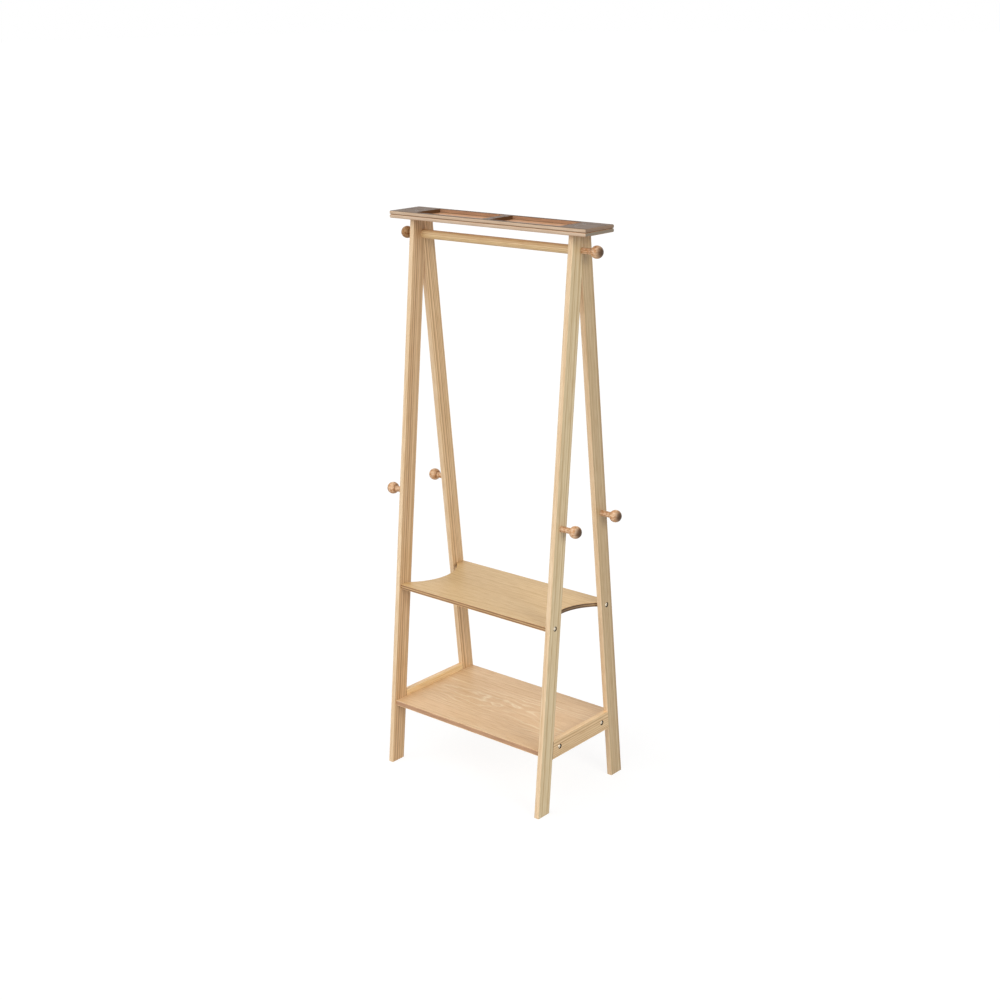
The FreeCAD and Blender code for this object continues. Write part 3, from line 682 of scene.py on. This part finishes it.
leg_woods = {
    ("left", "front"): {"heart": (0.03, 0.19, 0.3), "ring": 8 * MM, **BROWN_PINE},
    ("left", "rear"): {"heart": (-0.02, -0.21, 1.1), "ring": 7 * MM, **TAN_PINE},
    ("right", "front"): {"heart": (0.03, -0.17, 2.0), "ring": 9 * MM, **PINE},
    ("right", "rear"): {"heart": (-0.02, 0.2, 2.9), "ring": 7 * MM, **DULL_PINE},
}
for (side_name, way_name), choices in leg_woods.items():
    way = WAYS[way_name]
    node = f"{side_name}_{way_name}_leg"
    turn = (-way * LEAN_ANGLE, 0, 0)
    pine, *_ = make_wood(f"pine of {node}", node, turn, **choices)
    leg = make_leg(node, way)
    seat = bolt_places("upper", SIDES[side_name])[way]
    sink_bolt(leg, seat)
    finish_piece(leg, node, pine)
    paint_recess_shade(leg, node, seat, turn)

# %% [markdown]
# ## The side rails
#
# A side rail lies between the two legs of an A-frame and stands above the lower shelf as a lip.
# Its ends are cut to the lean of the legs. Moving the upper corners inwards does that in one
# step, and is exact, where turning a cutting plane would need its own angle.

# %% Making the side rails
RAIL_ROUND = 2 * MM
RAIL_RING = 7 * MM
RAIL_EDGE = srgb(252, 218, 170)
# Painted light: the left rail's pine is made paler than the right's, to stand in for light thrown
# up from the lower shelf onto its lip.
PALE_LIT_PINE = {"light": srgb(255, 230, 182), "dark": srgb(236, 194, 142), "flat": RAIL_EDGE}
WARM_PINE = {"light": srgb(234, 207, 164), "dark": srgb(178, 134, 84), "flat": RAIL_EDGE}

rail_woods = {
    "left": {"heart": (0.02, 0.15, 0.4), **PALE_LIT_PINE},
    "right": {"heart": (-0.03, 0.18, 1.6), **WARM_PINE},
}
for side_name, choices in rail_woods.items():
    node = f"{side_name}_side_rail"
    low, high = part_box(node)
    rail = add_board(f"{node}_board", low, high)
    edit(rail)
    for way in WAYS.values():
        pick("verts", lambda vert: near(vert.co.z, high.z) and vert.co.y * way > 0)
        bpy.ops.transform.translate(value=(0, -way * LEAN * (high.z - low.z), 0))
    pick("edges", lambda edge: edge.calc_length() > high.y)
    ease(RAIL_ROUND)
    leave()
    seats = bolt_places("lower", SIDES[side_name])
    for seat in seats.values():
        sink_bolt(rail, seat)
    pine, *_ = make_wood(f"pine of {node}", node, ALONG_Y, ring=RAIL_RING, **choices)
    finish_piece(rail, node, pine)
    for seat in seats.values():
        paint_recess_shade(rail, node, seat, ALONG_Y)

# %% [markdown]
# ## The hanging rail
#
# A dowel rod between the A-frames. A cylinder has the shape already, apart from its rims: where
# the rod was sawn to length they are broken with a small chamfer, so a thin shadow line shows
# where it meets the legs.

# %% Making the hanging rail
ROD_CHAMFER = 0.6 * MM
ROD_WOOD = {
    "heart": (0.03, 0.02, 0.2), "ring": 5 * MM,
    "light": srgb(255, 231, 185), "dark": srgb(206, 158, 102),
}

low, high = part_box("hanging_rail")
rod = add_cylinder((high.z - low.z) / 2, high.x - low.x, (low + high) / 2, LYING, vertices=72)
rod.name = "hanging_rail_rod"


def is_rod_rim(edge):
    return any(all(near(vert.co.x, end) for vert in edge.verts) for end in (low.x, high.x))


edit(rod)
pick("edges", is_rod_rim)
ease(ROD_CHAMFER, 2)
leave()
pine, *_ = make_wood("pine of hanging_rail", "hanging_rail", ALONG_X, **ROD_WOOD)
finish_piece(rod, "hanging_rail", pine)

# %% [markdown]
# ## The shelves
#
# Both shelves are plywood boards. The upper one is arched at its ends, and the arch is part of
# a circle, as a router on a trammel cuts it. So a large cylinder takes it out with a Boolean.
# The edges that show are rounded, and those that butt against the legs stay square. Four holes
# from below take the barrel nuts of the shelf bolts.

# %% Cutters for the shelves
NUT = 5 * MM
NUT_CLEARANCE = 0.1 * MM


def add_cutter(radius, low, high, place, vertices=ROUND_VERTICES):
    """An upright cylinder for a cut, between two heights."""
    return add_cylinder(radius, high - low, (*place, (low + high) / 2), vertices=vertices)


def bore_nut_holes(shelf, nuts, bottom):
    """Bores the shelf from below, up to the top of its nuts."""
    nut_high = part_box(nuts)[1]
    for side in SIDES.values():
        for way in WAYS.values():
            spot = (side * (nut_high.x - NUT), way * (nut_high.y - NUT))
            cut(shelf, add_cutter(NUT + NUT_CLEARANCE, bottom - OVERRUN, nut_high.z, spot))


# %% Making the upper shelf
SHELF_ROUND = 2 * MM
ARC_DEPTH = 46 * MM
ARC_VERTICES = 256
EAR_MARGIN = 10 * MM

low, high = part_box("upper_shelf")
upper_shelf = add_board("upper_shelf_board", low, high)
half_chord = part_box("upper_shelf_bolts")[1].y - BOLT_HEAD - EAR_MARGIN
arc_radius = (half_chord ** 2 + ARC_DEPTH ** 2) / (2 * ARC_DEPTH)
for side in SIDES.values():
    centre = (side * (high.x - ARC_DEPTH + arc_radius), 0)
    cutter = add_cutter(arc_radius, low.z - OVERRUN, high.z + OVERRUN, centre, ARC_VERTICES)
    cut(upper_shelf, cutter)


def is_on_face(edge):
    """True for an edge that lies in the upper or the lower face of the board in hand."""
    return any(all(near(vert.co.z, z) for vert in edge.verts) for z in (low.z, high.z))


def is_open_edge(edge):
    """True for a level edge that no leg covers."""
    return is_on_face(edge) and not all(near(abs(vert.co.x), high.x) for vert in edge.verts)


edit(upper_shelf)
pick("edges", is_open_edge)
ease(SHELF_ROUND)
leave()
bore_nut_holes(upper_shelf, "upper_shelf_nuts", low.z)
print("arc radius", round(arc_radius / MM, 1), "mm")

# %% Finishing the upper shelf
CALM_STREAK = srgb(249, 246, 240)

upper_veneer = {
    "turn": (0.02, math.radians(-89), 0.03), "heart": (0.1, 0.05, 0.0), "ring": 9 * MM,
    "wander": 0.03, "waves": 9, "streak": CALM_STREAK,
    "light": srgb(227, 194, 142), "dark": srgb(216, 181, 128),
}
upper_core = {
    "core_light": srgb(166, 118, 80), "core_dark": srgb(120, 78, 48),
    "pale_line": 0.2, "core_ends": srgb(80, 54, 32),
}
plywood = make_plywood("plywood of upper_shelf", "upper_shelf", **upper_core, **upper_veneer)
finish_piece(upper_shelf, "upper_shelf", plywood)

# %% Making the lower shelf
low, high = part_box("lower_shelf")
lower_shelf = add_board("lower_shelf_board", low, high)
edit(lower_shelf)
pick("edges", is_open_edge)
ease(SHELF_ROUND)
leave()
bore_nut_holes(lower_shelf, "lower_shelf_nuts", low.z)
print("lower shelf is", round((high.z - low.z) / MM, 1), "mm thick")

# %% Finishing the lower shelf
lower_veneer = {
    "turn": (-0.03, math.radians(-90.8), 0.02), "heart": (0.08, -0.02, 0.87), "ring": 8 * MM,
    "wander": 0.03, "waves": 9, "streak": CALM_STREAK, "flame": srgb(255, 236, 205),
    "light": srgb(239, 205, 162), "dark": srgb(231, 195, 151),
}
lower_core = {
    "core_light": srgb(200, 156, 120), "core_dark": srgb(164, 120, 88),
    "pale_line": 0, "core_ends": srgb(130, 94, 66),
}
plywood = make_plywood("plywood of lower_shelf", "lower_shelf", **lower_core, **lower_veneer)
finish_piece(lower_shelf, "lower_shelf", plywood)

# %% [markdown]
# ## The tray
#
# The tray is two thin boards, one on the other, each with a rounded nose all round, so a groove
# runs between them. The lower one is plain. The upper one has two windows, which make the
# pockets. Cuts across the board mark out each window, and bridging its top face to its bottom
# face opens it and builds its four walls at once.

# %% Making the tray's lower board
NOSE = 3 * MM
NOSE_SEGMENTS = 5


def is_rim(edge):
    """True for the level edges round a tray board's outside."""
    ends = all(near(abs(vert.co.x), high.x) for vert in edge.verts)
    sides = all(near(abs(vert.co.y), high.y) for vert in edge.verts)
    return is_on_face(edge) and (ends or sides)


low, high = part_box("tray_base")
tray_base = add_board("tray_base_board", low, high)
edit(tray_base)
pick("edges", is_rim)
ease(NOSE, NOSE_SEGMENTS)
leave()
print("lower board has", len(tray_base.data.polygons), "faces")

# %% Marking out the windows of the upper board
DIVIDER = 24 * MM
STRIP = 10.5 * MM
WINDOW_SETBACK = 18 * MM

low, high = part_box("tray_frame")
tray_frame = add_board("tray_frame_board", low, high)
window_near = DIVIDER / 2
window_far = leg_low.x - WINDOW_SETBACK
window_deep = high.y - STRIP
edit(tray_frame)
for axis, distances in ((0, (window_near, window_far)), (1, (window_deep,))):
    for distance in distances:
        for way in (-1, 1):
            point, normal = Vector(), Vector()
            point[axis], normal[axis] = way * distance, 1
            bpy.ops.mesh.select_all(action="SELECT")
            bpy.ops.mesh.bisect(plane_co=point, plane_no=normal)
print("windows are", [round(v / MM, 1) for v in (window_far - window_near, 2 * window_deep)], "mm")


# %% Opening the windows
def is_level(face):
    return abs(face.normal.z) > 0.5


def is_in_window(face, side):
    middle = face.calc_center_median()
    inside = window_near < middle.x * side < window_far and abs(middle.y) < window_deep
    return inside and is_level(face)


for side in SIDES.values():
    pick("faces", lambda face: is_in_window(face, side))
    bpy.ops.mesh.bridge_edge_loops()
leave()
print("open windows leave", len(tray_frame.data.polygons), "faces")

# %% Rounding the upper board
WINDOW_CORNER = 3 * MM


def is_by_window(point):
    return abs(point.x) < window_far + TINY and abs(point.y) < window_deep + TINY


def is_window_corner(edge):
    start, end = (vert.co for vert in edge.verts)
    return near(start.x, end.x) and near(start.y, end.y) and is_by_window(start)


edit(tray_frame)
pick("edges", is_window_corner)
ease(WINDOW_CORNER)
pick("edges", is_rim)
ease(NOSE, NOSE_SEGMENTS)
leave()
print("rounding brings", len(tray_frame.data.polygons), "faces")

# %% Countersinking the tray for its screws
SCREW_HEAD = 4.5 * MM
SCREW_SHANK = 2.25 * MM
SCREW_CLEARANCE = 0.25 * MM

head_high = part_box("tray_screws")[1]
sink = SCREW_HEAD - SCREW_SHANK
spot = Vector((head_high.x - SCREW_HEAD, head_high.y - SCREW_HEAD, high.z - sink / 2 + TINY))
for side in SIDES.values():
    for way in WAYS.values():
        let_go()
        bpy.ops.mesh.primitive_cone_add(
            vertices=ROUND_VERTICES, depth=sink,
            location=(side * spot.x, way * spot.y, spot.z),
            radius1=SCREW_SHANK + SCREW_CLEARANCE, radius2=SCREW_HEAD + SCREW_CLEARANCE,
        )
        settle()
        cut(tray_frame, bpy.context.object)
print("screws sit at", [round(value / MM, 1) for value in spot], "mm and in the other corners")

# %% Finishing the tray
lipping = {"core_light": srgb(215, 191, 165), "core_dark": srgb(195, 165, 137), "pale_line": 0}
base_ends = srgb(131, 117, 98)
frame_ends = srgb(146, 123, 104)
base_veneer = {
    "turn": (0.01, math.radians(-90.5), 0), "heart": (0.1, 0.06, 0.3), "ring": 8 * MM,
    "wander": 0.015, "light": srgb(216, 166, 122), "dark": srgb(190, 138, 98),
}
frame_veneer = {
    "turn": (-0.01, math.radians(-89.6), 0), "heart": (0.07, -0.03, 0.9), "ring": 8 * MM,
    "wander": 0.015, "light": srgb(133, 116, 104), "dark": srgb(96, 79, 67), "shine": 0.05,
}
for board, node, core_ends, veneer in (
    (tray_base, "tray_base", base_ends, base_veneer),
    (tray_frame, "tray_frame", frame_ends, frame_veneer),
):
    plywood = make_plywood(f"plywood of {node}", node, core_ends=core_ends, **lipping, **veneer)
    finish_piece(board, node, plywood)

# %% Bare walls in the windows
# The bare core ply of the windows has its own reddish tone. The walls that face along the board
# take a dark brown, partly end grain and partly painted shade in the pockets.
wall_core_and_shade = {
    "core_light": srgb(192, 152, 120), "core_dark": srgb(154, 116, 90),
    "pale_line": 0, "core_ends": srgb(98, 68, 44),
}
walls = make_plywood("window walls and painted shade of tray_frame", "tray_frame", **wall_core_and_shade, **frame_veneer)


def is_window_wall(face):
    return not is_level(face) and is_by_window(face.calc_center_median())


paint_faces(tray_frame, walls, is_window_wall)
print(sum(face.material_index for face in tray_frame.data.polygons), "faces line the windows")

# %% [markdown]
# ## The pegs
#
# A peg is turned on a lathe: a straight stem, a small cove and a ball. Spinning a half outline
# about the peg's axis is the same work. The outline starts as one corner of a plane and grows
# by extruding that vertex from point to point. One peg is made, and copies of it go to the six
# places.

# %% The outline of a peg
STEM = 7.5 * MM
BALL = 16 * MM
COVE = 4 * MM
PEG_BREAK = 0.4 * MM
COVE_STEPS = 6
BALL_STEPS = 24

peg_low, peg_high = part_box("right_top_peg")
ball_x = peg_high.x - peg_low.x - BALL
cove_x = ball_x - math.sqrt((BALL + COVE) ** 2 - (STEM + COVE) ** 2)
meet = math.atan2(STEM + COVE, ball_x - cove_x)
outline = [(0, 0), (0, STEM - PEG_BREAK), (PEG_BREAK, STEM)]
for step in range(COVE_STEPS + 1):
    turn = -math.pi / 2 + (math.pi / 2 - meet) * step / COVE_STEPS
    outline.append((cove_x + COVE * math.cos(turn), STEM + COVE + COVE * math.sin(turn)))
for step in range(1, BALL_STEPS + 1):
    turn = (math.pi - meet) * (1 - step / BALL_STEPS)
    outline.append((ball_x + BALL * math.cos(turn), BALL * math.sin(turn)))
print("cove begins", round(cove_x / MM, 1), "mm out, ball centre", round(ball_x / MM, 1), "mm out")


# %% Turning outlines
def turn_piece(name, outline, steps=64):
    """Spins a half outline, given as distances along X and radii, about the X axis."""
    let_go()
    bpy.ops.mesh.primitive_plane_add(size=2 * MM)
    piece = bpy.context.object
    piece.name = name
    edit(piece)
    pick("verts", lambda vert: vert.co.x < 0 or vert.co.y < 0)
    bpy.ops.mesh.delete(type="VERT")
    bpy.ops.mesh.select_all(action="SELECT")
    start = bmesh.from_edit_mesh(piece.data).verts[:][0].co.copy()
    points = [Vector((x, 0, radius)) for x, radius in outline]
    bpy.ops.transform.translate(value=points[0] - start)
    for before, after in zip(points, points[1:]):
        bpy.ops.mesh.extrude_region_move(TRANSFORM_OT_translate={"value": after - before})
    bpy.ops.mesh.select_all(action="SELECT")
    bpy.ops.mesh.spin(steps=steps, angle=2 * math.pi, center=(0, 0, 0), axis=(1, 0, 0))
    bpy.ops.mesh.select_all(action="SELECT")
    bpy.ops.mesh.remove_doubles(threshold=TINY)
    bpy.ops.mesh.normals_make_consistent(inside=False)
    leave()
    return piece


def copy_to(master, name, place, outward):
    """A copy with a mesh of its own, whose +X points away from the rack's middle."""
    hold(master)
    bpy.ops.object.duplicate(linked=False)
    piece = bpy.context.object
    piece.name = name
    piece.location = place
    piece.rotation_euler.z = 0 if outward > 0 else math.pi
    settle()
    return piece


# %% [markdown]
# The wood of the pegs is a little blotchy. The outer side of each ball darkens towards the tip,
# where the lathe's centre held it: partly darker end grain, partly painted shade on the ball's
# rim.
# The peg at the top left gets a darker copy of the same wood, which is painted shade.

# %% The wood of the pegs
PALE_PEG = {"light": srgb(246, 212, 178), "dark": srgb(208, 168, 134), "shine": 0.2}
SHADED_PEG = {"light": srgb(204, 166, 122), "dark": srgb(158, 118, 78), "shine": 0.2}
PEG_RING = 5 * MM
BLOTCH = srgb(226, 204, 182)
BLOTCHES = 130
DARK_TIP_AND_SHADE = srgb(84, 64, 46)
TIP_FACING = (0.3, 1.0)


def make_peg_wood(node, heart, side, tones):
    name = f"turned wood of {node}"
    wood, tree, shader, colour, _ = make_wood(name, node, ALONG_X, heart, PEG_RING, **tones)
    noise = add_noise(tree, add_place(tree), BLOTCHES, BLOTCHES).outputs["Fac"]
    colour = tint(tree, colour, noise, 0.4, BLOTCH, 0.55)
    # Painted shade: a wide patch round the ball's tip darkens to deep brown, partly end grain.
    outward = add_facing(tree, (side, 0, 0), *TIP_FACING, both=False)
    tree.links.new(mix_colours(tree, outward, colour, DARK_TIP_AND_SHADE), shader.inputs["Base Color"])
    return wood


# %% Six pegs
peg = turn_piece("peg", outline)
for side_name, side in SIDES.items():
    for spot_name in ("front", "rear", "top"):
        node = f"{side_name}_{spot_name}_peg"
        low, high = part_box(node)
        middle = (low + high) / 2
        seat_x = low.x if side > 0 else high.x
        turned = copy_to(peg, f"{node}_turned", (seat_x, middle.y, middle.z), side)
        heart = (0.02, 0.012, 0.3 * side + middle.z)
        # Painted shade: the peg at the top left gets a darker copy of the peg wood.
        tones = SHADED_PEG if node == "left_top_peg" else PALE_PEG
        finish_piece(turned, node, make_peg_wood(node, heart, side, tones))
bpy.data.objects.remove(peg)

# %% [markdown]
# ## Steel
#
# The bolts are bright zinc-plated steel. A perfect mirror would look like glass at this size, so
# a fine noise varies the roughness and gives the plating its slightly cloudy shine.

# %% Zinc-plated steel
CLOUD = {"Scale": 900.0, "Detail": 3.0}
POLISHED, CLOUDED = 0.18, 0.34


def make_steel(name, light, dark, metallic=1.0, shine=0.5):
    steel, tree, shader = new_material(name)
    cloud = add_node(tree, "ShaderNodeTexNoise", {"Vector": add_place(tree), **CLOUD})
    cloud = cloud.outputs["Fac"]
    colour = add_ramp(tree, cloud, ((0.3, dark), (0.7, light)))
    tree.links.new(colour, shader.inputs["Base Color"])
    tree.links.new(add_range(tree, cloud, POLISHED, CLOUDED), shader.inputs["Roughness"])
    shader.inputs["Metallic"].default_value = metallic
    shader.inputs["Specular IOR Level"].default_value = shine
    return steel


zinc = make_steel("zinc plate", srgb(236, 228, 212), srgb(214, 204, 186))
print(zinc.name, "has", len(zinc.node_tree.nodes), "nodes")

# %% [markdown]
# ## The bolts
#
# A bolt has a small domed head with a hexagon socket, and sits in its recess. It is spun like
# the pegs. The socket is a six-sided cylinder, turned to lie along the bolt and cut out of the
# dome. The cut leaves a few slivers, so points that lie together are merged after it.

# %% The outline of a bolt
BOLT = 3 * MM
BOLT_POINT = 1 * MM
BOLT_PAST_NUT = 2 * MM
HEAD_RIM = 1.2 * MM
CROWN = 3 * MM
DOME_STEPS = 8

nut_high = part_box("upper_shelf_nuts")[1]
reach = bolt_places("upper", 1)[1].x - (nut_high.x - 2 * NUT - BOLT_PAST_NUT)
rise = HEAD_HEIGHT - HEAD_RIM
dome = ((BOLT_HEAD - CROWN) ** 2 + rise ** 2) / (2 * rise)
sweep = math.asin((BOLT_HEAD - CROWN) / dome)
outline = [(-reach, 0), (-reach, BOLT - BOLT_POINT), (BOLT_POINT - reach, BOLT)]
outline += [(0, BOLT), (0, BOLT_HEAD)]
for step in range(DOME_STEPS + 1):
    turn = sweep * (1 - step / DOME_STEPS)
    outline.append((HEAD_HEIGHT - dome + dome * math.cos(turn), CROWN + dome * math.sin(turn)))
outline.append((HEAD_HEIGHT, 0))
print("dome radius", round(dome / MM, 2), "mm, reach", round(reach / MM, 1), "mm")

# %% Eight bolts
SOCKET = 4 / math.sqrt(3) * MM
SOCKET_DEPTH = 2 * MM

bolt = turn_piece("bolt", outline, steps=48)
cut(bolt, add_cylinder(SOCKET, 2 * SOCKET_DEPTH, (HEAD_HEIGHT, 0, 0), LYING, vertices=6))
edit(bolt)
bpy.ops.mesh.select_all(action="SELECT")
bpy.ops.mesh.remove_doubles(threshold=TINY)
bpy.ops.mesh.dissolve_degenerate(threshold=TINY)
leave()
for level in ("upper", "lower"):
    for side_name, side in SIDES.items():
        for way_name, way in WAYS.items():
            seat = bolt_places(level, side)[way]
            copy = copy_to(bolt, f"{level}_{side_name}_{way_name}_bolt", seat, side)
            finish_piece(copy, f"{level}_shelf_bolts", zinc)
bpy.data.objects.remove(bolt)

# %% [markdown]
# ## What stays from the frame
#
# The nuts, screws, studs and dowels already have the right shape, and little of them shows. They
# keep their solids and get a finish: zinc for the hardware, a browned skin that hardly shines
# for the screws in the tray, and plain beech for the dowels.

# %% Finishes for the inner pieces
BROWNED = {"light": srgb(104, 90, 80), "dark": srgb(80, 68, 60), "metallic": 0.0, "shine": 0.05}
BEECH = {
    "heart": (0.04, 0.01, 0.2), "ring": 3 * MM, "wander": 0.004,
    "light": srgb(222, 184, 140), "dark": srgb(190, 146, 104),
}

inner = {}
for node in ("upper_shelf_nuts", "lower_shelf_nuts", "peg_screws", "hanging_rail_studs"):
    inner[node] = zinc
inner["tray_screws"] = make_steel("browned steel", **BROWNED)
for node in ("apex_dowels", "side_rail_dowels"):
    inner[node], *_ = make_wood(f"beech of {node}", node, ALONG_Y, **BEECH)
for node, finish in inner.items():
    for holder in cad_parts[node].material_slots:
        holder.material = finish
print("finishes on", ", ".join(inner))

# %% [markdown]
# ## The size
#
# Nothing above may make the rack larger than its frame. The box that the shown pieces fill is
# printed below.

# %% Print the visual box
low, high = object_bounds()
print("visual box in metres", [round(value, 4) for value in (*low, *high)])
